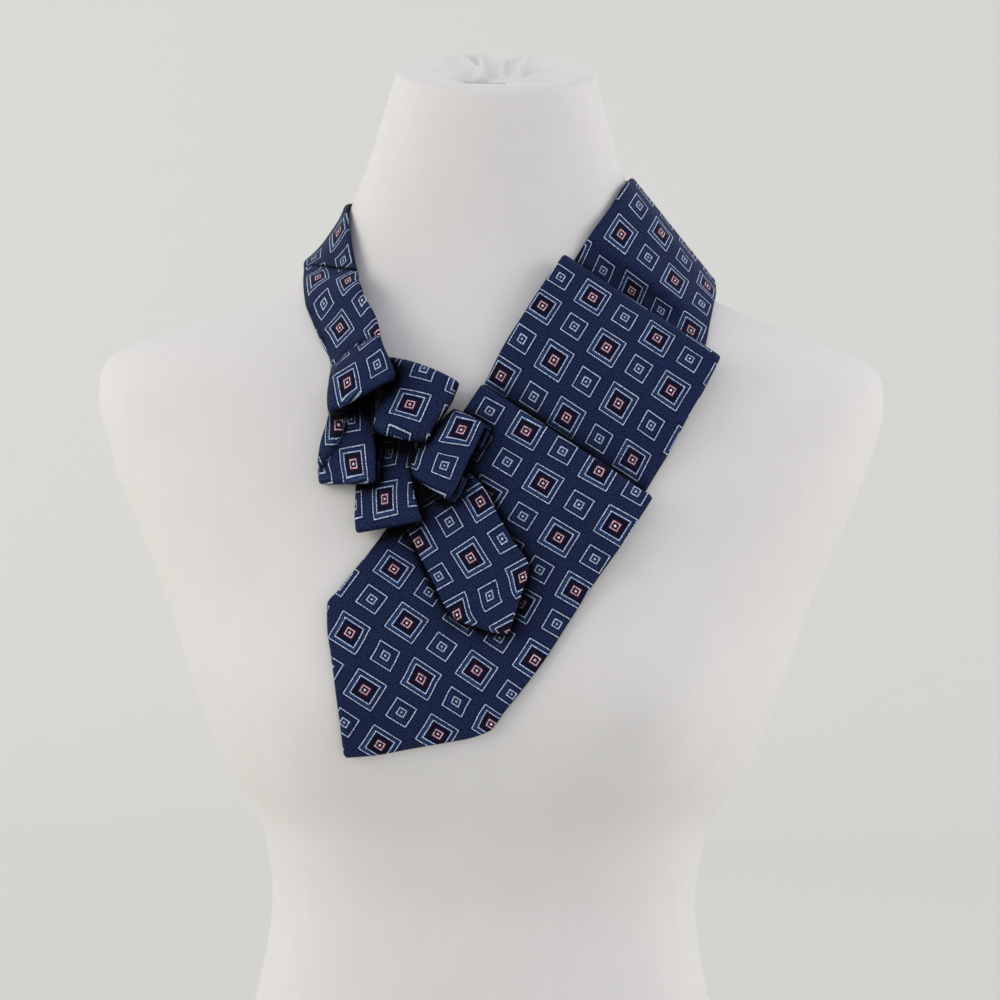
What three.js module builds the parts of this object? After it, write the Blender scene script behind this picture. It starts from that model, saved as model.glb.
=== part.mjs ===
// A silk necktie folded and tacked into a ruffled cravat, worn on a limbless dress form.
// Millimetres, +Z up. The front faces -Y, left and right are as seen from the front, and the
// form stands on the plane Z = 0 with its axis on X = 0, Y = 0.
import * as THREE from 'three';

// Driving dimensions of the cloth
const clothThickness = 2.6;    // the folded silk with its interlining, pressed
const pieceGap = 0.35;         // between pieces that lie on or meet each other
const clothStandoff = 0.9;     // least space between the form and the cloth on it
const edgeThinning = 0.5;      // share of the thickness left at a pressed side edge
const edgeWidth = 2;           // how far in from a side edge the thinning starts
const layerStep = clothThickness + pieceGap;
const firstLift = clothStandoff + clothThickness / 2;

// Driving dimensions of the form
const formSegments = 44;
const formRowStep = 24;
const neckTiltStart = 600;     // above this height the neck's rings lean with its top
const neckTopHeight = 643;     // height of the slanted top above the form's axis line
const neckTopSlope = 0.383;    // rise of the top towards the back
const neckTopRounding = 5;
const neckTopAxis = -5;        // Y of the middle of the slanted top
const neckTopDish = 2;
const baseRounding = 3;
const bust = { height: 20, apart: 88, wide: 50, centre: 318, tall: 50 };

// A table is a line of column names and rows of numbers.
function table(columns, rows) {
  const names = columns.split(' ');
  return rows.map((row) => Object.fromEntries(names.map((name, i) => [name, row[i]])));
}

// Level sections of the form: half width, depth in front of the axis and behind it, and how
// square the section is, 2 being an ellipse
const sections = table('z half front back squareness', [
  [0, 156, 96, 116, 2.3],
  [55, 152, 100, 120.5, 2.3],
  [110, 136, 97, 106, 2.3],
  [160, 118, 91, 86, 2.3],
  [212, 110, 86, 75, 2.3],
  [247, 115, 92, 77, 2.3],
  [283, 136, 103, 84, 2.3],
  [324, 153, 109, 92, 2.3],
  [366, 167, 106, 98, 2.3],
  [408, 185, 97, 103, 2.3],
  [440, 197, 88, 105, 2.25],
  [471, 204.5, 78, 103, 2.15],
  [482, 204, 74, 101, 2.05],
  [492, 197.5, 70, 99, 1.9],
  [502, 176, 66, 96, 1.75],
  [513, 144, 61.5, 92, 1.65],
  [523, 119, 57.5, 87, 1.7],
  [534, 101, 54, 80, 1.8],
  [545, 89, 51, 72, 1.9],
  [560, 79, 49.5, 63, 2],
  [576, 72.5, 49.5, 56, 2],
  [597, 65, 50.5, 49, 2],
  [618, 58.8, 51.5, 45, 2],
  [640, 52.5, 52, 42.5, 2],
  [665, 46, 52, 40, 2],
]);

// The stretches of the cravat on the front of the form, each from its top down: where its left
// and right edges are in the front view, and how far the middle of its cloth stands off the form
const frontColumns = 'leftX leftZ rightX rightZ leftLift rightLift';

const bladeRows = table(frontColumns, [
  [-5, 475, 79.2, 420.5, 8.6, 8.8],
  [-11.4, 465, 72.5, 410, 8.6, 8.8],
  [-17.8, 455.5, 65.9, 400, 8.2, 8.6],
  [-23.8, 445.5, 59.2, 390.5, 6.4, 6.8],
  [-29.9, 436, 52.5, 381, 4.2, 4.4],
  [-41.9, 416.5, 39.9, 361.5, 2.6, 2.6],
  [-54.3, 397.5, 27.6, 342, 2.2, 2.3],
  [-66.7, 381.5, 14, 323.5, 2.2, 2.6],
  [-72, 374.5, 8.1, 316, 2.2, 2.8],
  [-77.5, 367, 3.2, 308.6, 2.2, 2.6],
  [-77, 355.5, -6.8, 304.2, 2.2, 2.3],
  [-75, 344.5, -17.5, 302, 2.2, 2.2],
  [-72.2, 327, -35, 298.8, 2.2, 2.2],
  [-69.6, 308.5, -53, 295.3, 2.2, 2.2],
  [-68.2, 296, -66.2, 293.9, 2.2, 2.2],
]);

const pleatRows = table(frontColumns, [
  [35, 542, 113.7, 491, 8.6, 9],
  [24.7, 526.5, 105.2, 474.5, 8.6, 9],
  [15.2, 511, 96.3, 459.3, 8.2, 8.6],
  [5.7, 495, 88.9, 444.8, 4.8, 5],
  [-2.6, 477.5, 80.8, 431.4, 2.5, 2.5],
  [-10, 462, 72.2, 417, 2.3, 2.3],
  [-14, 454, 67.4, 409.5, 2.2, 2.2],
]);

const neckLeftFrontRows = table(frontColumns, [
  [-91.1, 508.7, -64.2, 520.8, 2.4, 14],
  [-85.1, 496.5, -57, 508.1, 3, 16],
  [-79.5, 484.7, -53.4, 495, 7, 17],
  [-79.6, 477.2, -50.2, 488.3, 11.8, 17.8],
  [-80.1, 469.1, -47.5, 482, 13.6, 18.2],
  [-79.5, 460.6, -46.9, 478.6, 14, 18.4],
]);

const loopOuterRows = table(frontColumns, [
  [-76.3, 471, -53.6, 474.8, 3.2, 6],
  [-79, 463, -54.8, 465, 3.6, 6.8],
  [-80.7, 455.5, -55.5, 455.2, 4.4, 8.8],
  [-83.3, 444.7, -55.4, 444, 5.6, 11.6],
  [-84, 436.3, -55.2, 435.2, 6.2, 13.6],
  [-83.2, 426.5, -55.2, 427, 6.2, 14.3],
]);

const loopLowerRows = table(frontColumns, [
  [-57, 451.5, -42.2, 452.6, 2.8, 5.2],
  [-60.5, 442.5, -41.5, 445.2, 3.2, 6.6],
  [-64.2, 432.6, -40, 436, 4.6, 9.6],
  [-65.1, 422.8, -38, 424.7, 6.2, 11.6],
  [-65.1, 412.1, -34.4, 415.5, 7.6, 13.8],
  [-64.3, 403, -32.3, 409.2, 7.7, 14],
]);

const loopTopRows = table(frontColumns, [
  [-50.5, 487.3, -15.6, 475, 8, 14.5],
  [-51.1, 481, -17, 471.3, 8.3, 14.6],
  [-51.8, 473, -19.9, 464.2, 9.4, 14.8],
  [-52.2, 464.6, -24, 457.8, 10.8, 14.8],
  [-52.2, 457.2, -28, 451.8, 11.4, 14.6],
  [-51.7, 451.2, -30, 446.2, 11.6, 14.4],
]);

const loopInnerRows = table(frontColumns, [
  [-18.4, 462.8, -2.5, 454.6, 14.3, 15.8],
  [-22.8, 455, -5.6, 447.3, 14, 15.8],
  [-28.4, 446.8, -9.2, 440, 12.6, 15.6],
  [-34, 440.4, -12.6, 432.3, 11, 15.4],
  [-36, 434.6, -16, 424, 12, 15.2],
  [-34.4, 428.6, -19, 419.4, 13.6, 15.2],
]);

const tailRows = table(frontColumns, [
  [-45, 427, -9, 431.5, 5.6, 8.6],
  [-42.5, 408.5, -5, 428, 5.9, 8.9],
  [-39, 402.4, -1.3, 423.2, 5.9, 9],
  [-33, 391, 5, 411.2, 5.8, 9.2],
  [-27.3, 380.5, 12, 399.8, 5.8, 9.8],
  [-20.4, 367.4, 19.8, 386.2, 5.8, 10.4],
  [-14.6, 360.8, 17.5, 377.5, 5.8, 10.2],
  [-6.3, 358, 15.2, 370.4, 6, 9.8],
  [2.4, 355.3, 12.4, 361.2, 6.8, 9],
  [9.2, 354.5, 10.8, 355.8, 8, 8.4],
]);

const neckRightFrontRows = table(frontColumns, [
  [43, 544, 107.4, 498, 2.3, 2.6],
  [35, 530, 102.5, 484.7, 2.2, 2.3],
  [27.4, 518, 95.8, 471.4, 2.2, 2.2],
  [24.2, 513, 93, 466, 2.2, 2.2],
]);

// The stretches round the neck, which bridge the hollow between the neck and the shoulders:
// the middle of the cloth at its upper and lower edge, in the order of left and right below
const collarColumns = 'leftX leftY leftZ rightX rightY rightZ';

const neckRightRows = table(collarColumns, [
  [59, 31, 588, 90, 46, 533.5],
  [66, 21, 588, 106.5, 27, 533.5],
  [71.2, 2, 588, 116, 4, 534],
  [66.6, -22.5, 581.5, 115.4, -14, 527.5],
  [58.4, -35.5, 567.5, 113, -29, 519.5],
  [50.2, -43, 555.8, 110.2, -43, 509.2],
]);

const neckLeftRows = table(collarColumns, [
  [-98.2, -10.6, 537.9, -68.1, -46.1, 532.7],
  [-98, -25, 530.2, -66.4, -57, 527.6],
  [-95.6, -40, 518.6, -65.2, -62, 523.9],
]);

const neckBackRows = table(collarColumns, [
  [-98.35, -9.5, 538.6, -68.7, -44.6, 534.1],
  [-98.6, -3, 541, -71.2, -37.6, 543.6],
  [-97.6, 6, 542.4, -74.2, -25, 559.6],
  [-94.6, 18, 543, -75.2, -6, 570.4],
  [-90, 30, 543, -69.4, 23, 575],
  [-67.5, 57, 543, -52.8, 41.2, 578],
  [-34, 75, 542, -28.2, 53, 580.5],
  [0, 80, 540, 0, 56.4, 583],
  [35, 76.5, 537, 28.2, 52.8, 585.5],
  [63, 65.5, 534.5, 45, 43.6, 587],
  [75, 58.2, 534, 53.6, 37, 587.6],
  [89.4, 46.6, 533.5, 58.4, 31.8, 588],
]);

// Smooth curve through a column of a table, without overshoot between its rows
function smoothColumn(places, values) {
  const spans = places.slice(1).map((place, i) => place - places[i]);
  const rises = spans.map((span, i) => (values[i + 1] - values[i]) / span);
  const slopes = values.map((_, i) => {
    if (i === 0) return rises[0];
    if (i === values.length - 1) return rises[i - 1];
    if (rises[i - 1] * rises[i] <= 0) return 0;
    const before = 2 * spans[i] + spans[i - 1];
    const after = spans[i] + 2 * spans[i - 1];
    return (before + after) / (before / rises[i - 1] + after / rises[i]);
  });
  return (place) => {
    const at = THREE.MathUtils.clamp(place, places[0], places[places.length - 1]);
    let i = 0;
    while (i < spans.length - 1 && at > places[i + 1]) i += 1;
    const t = (at - places[i]) / spans[i];
    const startShare = (1 + 2 * t) * (1 - t) ** 2;
    const endShare = t * t * (3 - 2 * t);
    const startBend = t * (1 - t) ** 2 * spans[i];
    const endBend = t * t * (t - 1) * spans[i];
    return values[i] * startShare + values[i + 1] * endShare
      + slopes[i] * startBend + slopes[i + 1] * endBend;
  };
}

const sectionHeights = sections.map((row) => row.z);
const sectionCurve = (key) => smoothColumn(sectionHeights, sections.map((row) => row[key]));
const halfWidth = sectionCurve('half');
const frontDepth = sectionCurve('front');
const backDepth = sectionCurve('back');
const squareness = sectionCurve('squareness');

function bustSwell(x, z) {
  const across = (Math.abs(x) - bust.apart) / bust.wide;
  const up = (z - bust.centre) / bust.tall;
  return bust.height * Math.exp(-across * across - up * up);
}

function depthAt(x, z, inFront) {
  return inFront ? frontDepth(z) + bustSwell(x, z) : backDepth(z);
}

// Zero on the form's surface, negative inside it
function formLevel(x, y, z) {
  const n = squareness(z);
  const across = Math.abs(x / halfWidth(z)) ** n;
  const through = Math.abs(y / depthAt(x, z, y < 0)) ** n;
  return (across + through) ** (1 / n) - 1;
}

function formSlope(p) {
  const step = 0.05;
  return new THREE.Vector3(
    formLevel(p.x + step, p.y, p.z) - formLevel(p.x - step, p.y, p.z),
    formLevel(p.x, p.y + step, p.z) - formLevel(p.x, p.y - step, p.z),
    formLevel(p.x, p.y, p.z + step) - formLevel(p.x, p.y, p.z - step),
  ).divideScalar(2 * step);
}

// Moves a point straight off the form until it is at least the lift away from it
function keepOff(p, lift) {
  for (let round = 0; round < 4; round += 1) {
    const slope = formSlope(p);
    const distance = formLevel(p.x, p.y, p.z) / slope.length();
    if (distance < lift) p.addScaledVector(slope.normalize(), lift - distance);
  }
  return p;
}

// The point in front of the form at x and z whose distance from it is the lift
function onFront(x, z, lift) {
  const n = squareness(z);
  const inside = Math.max(1 - Math.abs(x / halfWidth(z)) ** n, 0.02);
  const y = -depthAt(x, z, true) * inside ** (1 / n);
  const slope = formSlope(new THREE.Vector3(x, y, z)).normalize();
  return new THREE.Vector3(x, y - lift / Math.max(-slope.y, 0.4), z);
}

// A closed mesh from a list of points and a list of triangles
function closedMesh(name, points, triangles, material) {
  const geometry = new THREE.BufferGeometry();
  const positions = points.flatMap((p) => [p.x, p.y, p.z]);
  geometry.setAttribute('position', new THREE.Float32BufferAttribute(positions, 3));
  geometry.setIndex(triangles.flat());
  geometry.computeVertexNormals();
  const mesh = new THREE.Mesh(geometry, material);
  mesh.name = name;
  return mesh;
}

// The form: rings of points from the base to the top of the neck, closed by a fan at each end
function formRing(height, scale = 1, rise = 0) {
  const lean = Math.max(0, (height - neckTiltStart) / (neckTopHeight - neckTiltStart));
  const ring = [];
  for (let i = 0; i < formSegments; i += 1) {
    const turn = (2 * Math.PI * i) / formSegments;
    const cos = Math.cos(turn);
    const sin = Math.sin(turn);
    let z = height;
    let x = 0;
    let y = 0;
    for (let round = 0; round < 3; round += 1) {
      const power = 2 / squareness(z);
      x = Math.sign(cos) * Math.abs(cos) ** power * halfWidth(z);
      const depth = depthAt(x, z, sin < 0);
      y = Math.sign(sin) * Math.abs(sin) ** power * depth;
      z = height + lean * neckTopSlope * (y - neckTopAxis);
    }
    const middleY = lean > 0 ? neckTopAxis : 0;
    const point = new THREE.Vector3(x * scale, middleY + (y - middleY) * scale, z + rise);
    point.z += lean * neckTopSlope * (y - neckTopAxis) * (scale - 1);
    ring.push(point);
  }
  return ring;
}

function dressForm(material) {
  const rings = [];
  const bottom = sections[0].half;
  rings.push(formRing(0, 1 - baseRounding / bottom));
  const sideTop = neckTopHeight - neckTopRounding;
  const heights = sectionHeights.filter((z) => z > 0 && z < sideTop);
  let from = baseRounding;
  for (const to of [...heights, sideTop]) {
    const steps = Math.ceil((to - from) / formRowStep);
    for (let i = 0; i < steps; i += 1) rings.push(formRing(from + ((to - from) * i) / steps));
    from = to;
  }
  const topHalf = halfWidth(sideTop);
  for (const degrees of [0, 35, 70]) {
    const turn = THREE.MathUtils.degToRad(degrees);
    const inset = neckTopRounding * (1 - Math.cos(turn));
    rings.push(formRing(sideTop, 1 - inset / topHalf, neckTopRounding * Math.sin(turn)));
  }
  rings.push(formRing(sideTop, 1 - (1.6 * neckTopRounding) / topHalf, neckTopRounding));
  rings.push(formRing(sideTop, 0.45, neckTopRounding - neckTopDish / 2));

  const points = rings.flat();
  const triangles = [];
  for (let r = 0; r + 1 < rings.length; r += 1) {
    for (let i = 0; i < formSegments; i += 1) {
      const a = r * formSegments + i;
      const b = r * formSegments + ((i + 1) % formSegments);
      triangles.push([a, b, b + formSegments], [a, b + formSegments, a + formSegments]);
    }
  }
  const top = new THREE.Vector3(0, neckTopAxis, neckTopHeight - neckTopDish);
  const lastRing = (rings.length - 1) * formSegments;
  points.push(new THREE.Vector3(0, 0, 0), top);
  for (let i = 0; i < formSegments; i += 1) {
    const next = (i + 1) % formSegments;
    triangles.push([next, i, points.length - 2]);
    triangles.push([lastRing + i, lastRing + next, points.length - 1]);
  }
  return closedMesh('dress_form', points, triangles, material);
}

// A ribbon is a stretch of the tie between a left and a right edge. Rows on the front follow
// the form, and rows round the neck run straight from edge to edge.
function ribbonRows(collarRows, frontRows) {
  const lifts = { leftLift: firstLift, rightLift: firstLift };
  const collar = collarRows.map((row) => ({ ...row, ...lifts, follow: 0 }));
  const front = frontRows.map((row) => {
    const leftY = onFront(row.leftX, row.leftZ, row.leftLift).y;
    const rightY = onFront(row.rightX, row.rightZ, row.rightLift).y;
    return { ...row, leftY, rightY, follow: 1 };
  });
  return [...collar, ...front];
}

function ribbonCurves(rows) {
  const middle = (row) => new THREE.Vector3(
    (row.leftX + row.rightX) / 2,
    (row.leftY + row.rightY) / 2,
    (row.leftZ + row.rightZ) / 2,
  );
  const places = [0];
  for (let i = 1; i < rows.length; i += 1) {
    places.push(places[i - 1] + middle(rows[i]).distanceTo(middle(rows[i - 1])));
  }
  const curve = (key) => smoothColumn(places, rows.map((row) => row[key]));
  const keys = Object.keys(rows[0]);
  return { length: places.at(-1), at: Object.fromEntries(keys.map((key) => [key, curve(key)])) };
}

// Soft creases: long low ridges between two points of the front view
function creaseHeight(creases, x, z) {
  let height = 0;
  for (const crease of creases) {
    const alongX = crease.toX - crease.fromX;
    const alongZ = crease.toZ - crease.fromZ;
    const span = alongX * alongX + alongZ * alongZ;
    const t = ((x - crease.fromX) * alongX + (z - crease.fromZ) * alongZ) / span;
    const near = THREE.MathUtils.clamp(t, 0, 1);
    const offX = x - crease.fromX - near * alongX;
    const offZ = z - crease.fromZ - near * alongZ;
    height += crease.height * Math.exp(-(offX * offX + offZ * offZ) / crease.width ** 2);
  }
  return height;
}

// How far a side of the cloth curls back at a distance from its edge
function curlDrop(curl, distance) {
  const share = THREE.MathUtils.clamp(1 - distance / curl.width, 0, 1);
  return curl.drop * share * share;
}

function ribbonPoint(ribbon, place, across, extraLift) {
  const { at } = ribbon;
  const left = new THREE.Vector3(at.leftX(place), at.leftY(place), at.leftZ(place));
  const right = new THREE.Vector3(at.rightX(place), at.rightY(place), at.rightZ(place));
  const point = left.clone().lerp(right, across);
  const follow = at.follow(place);
  if (follow > 0) {
    let lift = THREE.MathUtils.lerp(at.leftLift(place), at.rightLift(place), across);
    const width = left.distanceTo(right);
    lift += extraLift + creaseHeight(ribbon.creases, point.x, point.z);
    lift -= curlDrop(ribbon.leftCurl, across * width) + curlDrop(ribbon.rightCurl, (1 - across) * width);
    point.lerp(onFront(point.x, point.z, lift), follow);
  }
  return keepOff(point, firstLift);
}

// Steps along a ribbon as pairs of a place and an added lift. A fold turns the cloth back
// under itself in a half circle and runs on below for the fold's depth.
function foldSteps(fold, step) {
  const turn = [];
  const bulge = 2 * fold.radius - layerStep;
  const returnSteps = Math.max(1, Math.round((fold.depth - fold.radius) / step));
  for (let i = 0; i < returnSteps; i += 1) {
    const place = fold.depth - ((fold.depth - fold.radius) * i) / returnSteps;
    turn.push({ place, lift: -layerStep, returning: true });
  }
  for (let degrees = 0; degrees < 180; degrees += 180 / fold.turnSteps) {
    const angle = THREE.MathUtils.degToRad(degrees);
    const place = fold.radius * (1 - Math.sin(angle));
    const lift = -layerStep + fold.radius * (1 - Math.cos(angle));
    turn.push({ place, lift, returning: degrees < 90 });
  }
  return { turn, bulge };
}

function ribbonPath(ribbon, step, topFold, bottomFold) {
  const { length } = ribbon;
  const top = topFold ? foldSteps(topFold, step) : { turn: [], bulge: 0 };
  const bottom = bottomFold ? foldSteps(bottomFold, step) : { turn: [], bulge: 0 };
  const start = topFold ? topFold.radius : 0;
  const end = length - (bottomFold ? bottomFold.radius : 0);
  const steps = Math.round((end - start) / step);
  const flat = [];
  for (let i = 0; i <= steps; i += 1) {
    const place = start + ((end - start) * i) / steps;
    let lift = 0;
    if (topFold) lift += top.bulge * Math.exp(-(place - start) / topFold.settle);
    if (bottomFold) lift += bottom.bulge * Math.exp(-(end - place) / bottomFold.settle);
    flat.push({ place, lift, returning: false });
  }
  const below = bottom.turn.map((s) => ({ ...s, place: length - s.place })).reverse();
  return [...top.turn, ...flat, ...below];
}

// The wall of a ribbon: its middle grid of points moved out by half the thickness each way
function wallMesh(name, grid, material) {
  const rowCount = grid.length;
  const columnCount = grid[0].length;
  const normalAt = (i, j) => {
    const along = grid[Math.min(i + 1, rowCount - 1)][j].clone().sub(grid[Math.max(i - 1, 0)][j]);
    const across = grid[i][Math.min(j + 1, columnCount - 1)].clone().sub(grid[i][Math.max(j - 1, 0)]);
    return along.cross(across).normalize();
  };
  const outer = [];
  const inner = [];
  for (let i = 0; i < rowCount; i += 1) {
    for (let j = 0; j < columnCount; j += 1) {
      const atEdge = j === 0 || j === columnCount - 1;
      const half = (clothThickness / 2) * (atEdge ? edgeThinning : 1);
      const normal = normalAt(i, j);
      outer.push(grid[i][j].clone().addScaledVector(normal, half));
      inner.push(grid[i][j].clone().addScaledVector(normal, -half));
    }
  }
  const below = rowCount * columnCount;
  const at = (i, j) => i * columnCount + j;
  const triangles = [];
  const quad = (a, b, c, d) => triangles.push([a, b, c], [a, c, d]);
  for (let i = 0; i + 1 < rowCount; i += 1) {
    for (let j = 0; j + 1 < columnCount; j += 1) {
      quad(at(i, j), at(i + 1, j), at(i + 1, j + 1), at(i, j + 1));
      quad(below + at(i, j), below + at(i, j + 1), below + at(i + 1, j + 1), below + at(i + 1, j));
    }
    const last = columnCount - 1;
    quad(at(i, 0), below + at(i, 0), below + at(i + 1, 0), at(i + 1, 0));
    quad(at(i, last), at(i + 1, last), below + at(i + 1, last), below + at(i, last));
  }
  for (let j = 0; j + 1 < columnCount; j += 1) {
    const last = rowCount - 1;
    quad(at(0, j), at(0, j + 1), below + at(0, j + 1), below + at(0, j));
    quad(at(last, j), below + at(last, j), below + at(last, j + 1), at(last, j + 1));
  }
  return closedMesh(name, [...outer, ...inner], triangles, material);
}

function ribbonMesh(name, rows, material, options) {
  const { step, columns, topFold, bottomFold, creases = [], returnSpread = 0 } = options;
  const { leftCurl = noCurl, rightCurl = noCurl } = options;
  const ribbon = { ...ribbonCurves(rows), creases, leftCurl, rightCurl };
  const path = ribbonPath(ribbon, step, topFold, bottomFold);
  const { at } = ribbon;
  const grid = path.map(({ place, lift, returning }) => {
    const width = Math.hypot(
      at.rightX(place) - at.leftX(place),
      at.rightY(place) - at.leftY(place),
      at.rightZ(place) - at.leftZ(place),
    );
    const edge = Math.min(edgeWidth / width, 1 / 3);
    const reach = returning ? 1 + returnSpread / width : 1;
    const row = [];
    for (let j = 0; j <= columns; j += 1) {
      const inner = edge + ((1 - 2 * edge) * (j - 1)) / (columns - 2);
      const across = j === 0 ? 0 : j === columns ? 1 : inner;
      row.push(ribbonPoint(ribbon, place, across * reach, lift));
    }
    return row;
  });
  return wallMesh(name, grid, material);
}

const silk = new THREE.MeshStandardMaterial({ color: 0x1d2b4a, roughness: 0.55, metalness: 0 });
const jersey = new THREE.MeshStandardMaterial({ color: 0xece8e2, roughness: 0.85, metalness: 0 });

const noCurl = { width: 1, drop: 0 };
const wideFold = { radius: 2.4, depth: 30, settle: 12, turnSteps: 4 };
const bladeFold = { radius: 2.3, depth: 24, settle: 10, turnSteps: 4 };
const endFold = { radius: 2.3, depth: 11, settle: 8, turnSteps: 4 };
const loopFold = { radius: 2.5, depth: 12, settle: 8, turnSteps: 4 };
const rollFold = { radius: 4, depth: 13, settle: 8, turnSteps: 5 };

const flapCurl = { width: 8, drop: 3.4 };
const loopCurl = { width: 10, drop: 4.2 };

const outerTuck = table('fromX fromZ toX toZ height width', [
  [-70.5, 457, -78.5, 439, 2.2, 3.5],
]);

const cravat = new THREE.Group();
cravat.add(
  dressForm(jersey),
  ribbonMesh('neck_back', ribbonRows(neckBackRows, []), silk, { step: 9, columns: 7 }),
  ribbonMesh('neck_right', ribbonRows(neckRightRows, neckRightFrontRows), silk, { step: 8, columns: 9 }),
  ribbonMesh('upper_pleat', ribbonRows([], pleatRows), silk, { step: 7.5, columns: 11, topFold: wideFold }),
  ribbonMesh('front_blade', ribbonRows([], bladeRows), silk, { step: 7.5, columns: 11, topFold: bladeFold }),
  ribbonMesh('neck_left', ribbonRows(neckLeftRows, neckLeftFrontRows), silk, {
    step: 6,
    columns: 8,
    bottomFold: endFold,
    leftCurl: flapCurl,
  }),
  ribbonMesh('loop_outer', ribbonRows([], loopOuterRows), silk, {
    step: 5,
    columns: 8,
    bottomFold: loopFold,
    creases: outerTuck,
    returnSpread: 2,
  }),
  ribbonMesh('loop_lower', ribbonRows([], loopLowerRows), silk, { step: 5, columns: 7, bottomFold: loopFold }),
  ribbonMesh('loop_top', ribbonRows([], loopTopRows), silk, {
    step: 5,
    columns: 9,
    topFold: loopFold,
    bottomFold: rollFold,
    rightCurl: loopCurl,
  }),
  ribbonMesh('loop_inner', ribbonRows([], loopInnerRows), silk, {
    step: 5,
    columns: 7,
    topFold: loopFold,
    bottomFold: endFold,
    returnSpread: 3.4,
  }),
  ribbonMesh('tail', ribbonRows([], tailRows), silk, { step: 7, columns: 7 }),
);

export default cravat;
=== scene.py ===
import math

import bpy
import numpy as np
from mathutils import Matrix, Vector
from mathutils.bvhtree import BVHTree


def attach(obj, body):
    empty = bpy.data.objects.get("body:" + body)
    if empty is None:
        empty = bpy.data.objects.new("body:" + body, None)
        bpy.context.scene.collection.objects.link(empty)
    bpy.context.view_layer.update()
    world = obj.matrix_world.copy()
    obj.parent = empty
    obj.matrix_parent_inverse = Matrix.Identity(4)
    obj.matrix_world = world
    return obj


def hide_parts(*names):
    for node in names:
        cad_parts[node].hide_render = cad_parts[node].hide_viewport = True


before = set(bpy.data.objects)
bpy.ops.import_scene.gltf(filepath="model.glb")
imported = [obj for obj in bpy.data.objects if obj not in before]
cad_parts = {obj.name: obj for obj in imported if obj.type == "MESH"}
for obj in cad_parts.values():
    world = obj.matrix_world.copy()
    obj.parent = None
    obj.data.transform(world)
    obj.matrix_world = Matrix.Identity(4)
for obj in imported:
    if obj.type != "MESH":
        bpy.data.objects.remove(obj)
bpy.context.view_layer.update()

# Tables are in millimetres, the meshes in metres. +Z is up, the front faces -Y, and left and
# right are as seen from the front.
mm = 0.001

cloth = {
    "thickness": 2.6,     # the folded silk with its interlining, pressed
    "standoff": 0.9,      # least space between the form and the cloth on it
    "layerGap": 0.35,     # between layers that lie on each other
    "edgeRound": 2.3,     # how far in from a pressed edge the cloth has its full thickness
    "edgeSteps": 5,
    "rowStep": 1.5,
    "columnStep": 1.5,
    "grainWindow": 14,    # rows over which the direction of the cloth's length is averaged
}
layerStep = cloth["thickness"] + cloth["layerGap"]
firstLift = cloth["standoff"] + cloth["thickness"] / 2

form = {
    "segments": 168,
    "rowStep": 5,
    "neckTiltStart": 600,
    "neckTopHeight": 643,
    "neckTopSlope": 0.383,
    "neckTopRounding": 5,
    "neckTopAxis": -5,
    "baseRounding": 3,
    "bustHeight": 20,
    "bustApart": 88,
    "bustWide": 50,
    "bustCentre": 318,
    "bustTall": 50,
    "topRings": 56,
    "topFrom": 0.9,       # the first and the last of them, as shares of the top's size
    "topTo": 0.03,
}

# Where the cover is gathered on top of the neck, seen from above
neckSlit = (-13, -30, 25, -32)
neckGathers = [
    # fromX, fromY, toX, toY, rise, width
    (-20.7, 41, -8, -25, 2.2, 2.8),
    (-8.9, 36, -6, -25, 1.8, 2.2),
    (15.8, 30, 11.4, -18.6, 2.2, 2.8),
    (-28.2, -4.9, -13.4, -15.5, 2, 2.4),
    (30, 2, 20, -20, 1.6, 2.6),
    (4, 22, 3, -22, 1.2, 2),
    (*neckSlit, -3, 9),
    (*neckSlit, -3.6, 2.2),
    (8, -37, 30, -37, 2, 2.4),
    (-24, -32, -15, -28, 1.8, 2.4),
]


def table(columns, rows):
    names = columns.split()
    return {name: np.array([row[i] for row in rows], float) for i, name in enumerate(names)}


# Level sections of the form, square 2 being an ellipse
sections = table("z half front back square", [
    (0, 156, 96, 116, 2.3),
    (55, 152, 100, 120.5, 2.3),
    (110, 136, 97, 106, 2.3),
    (160, 118, 91, 86, 2.3),
    (212, 110, 86, 75, 2.3),
    (247, 115, 92, 77, 2.3),
    (283, 136, 103, 84, 2.3),
    (324, 153, 109, 92, 2.3),
    (366, 167, 106, 98, 2.3),
    (408, 185, 97, 103, 2.3),
    (440, 197, 88, 105, 2.25),
    (471, 204.5, 78, 103, 2.15),
    (482, 204, 74, 101, 2.05),
    (492, 197.5, 70, 99, 1.9),
    (502, 176, 66, 96, 1.75),
    (513, 144, 61.5, 92, 1.65),
    (523, 119, 57.5, 87, 1.7),
    (534, 101, 54, 80, 1.8),
    (545, 89, 51, 72, 1.9),
    (560, 79, 49.5, 63, 2),
    (576, 72.5, 49.5, 56, 2),
    (597, 65, 50.5, 49, 2),
    (618, 58.8, 51.5, 45, 2),
    (640, 52.5, 52, 42.5, 2),
    (665, 46, 52, 40, 2),
])


def smoothColumn(places, values):
    # a curve through the values without overshoot between them
    spans = np.diff(places)
    rises = np.diff(values) / spans
    slopes = np.concatenate([rises[:1], np.zeros(len(values) - 2), rises[-1:]])
    for i in range(1, len(values) - 1):
        if rises[i - 1] * rises[i] > 0:
            before = 2 * spans[i] + spans[i - 1]
            after = spans[i] + 2 * spans[i - 1]
            slopes[i] = (before + after) / (before / rises[i - 1] + after / rises[i])

    def at(place):
        place = np.clip(place, places[0], places[-1])
        i = np.clip(np.searchsorted(places, place, "right") - 1, 0, len(spans) - 1)
        t = (place - places[i]) / spans[i]
        level = values[i] * (1 + 2 * t) * (1 - t) ** 2 + values[i + 1] * t * t * (3 - 2 * t)
        bend = slopes[i] * t * (1 - t) ** 2 + slopes[i + 1] * t * t * (t - 1)
        return level + bend * spans[i]
    return at


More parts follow.
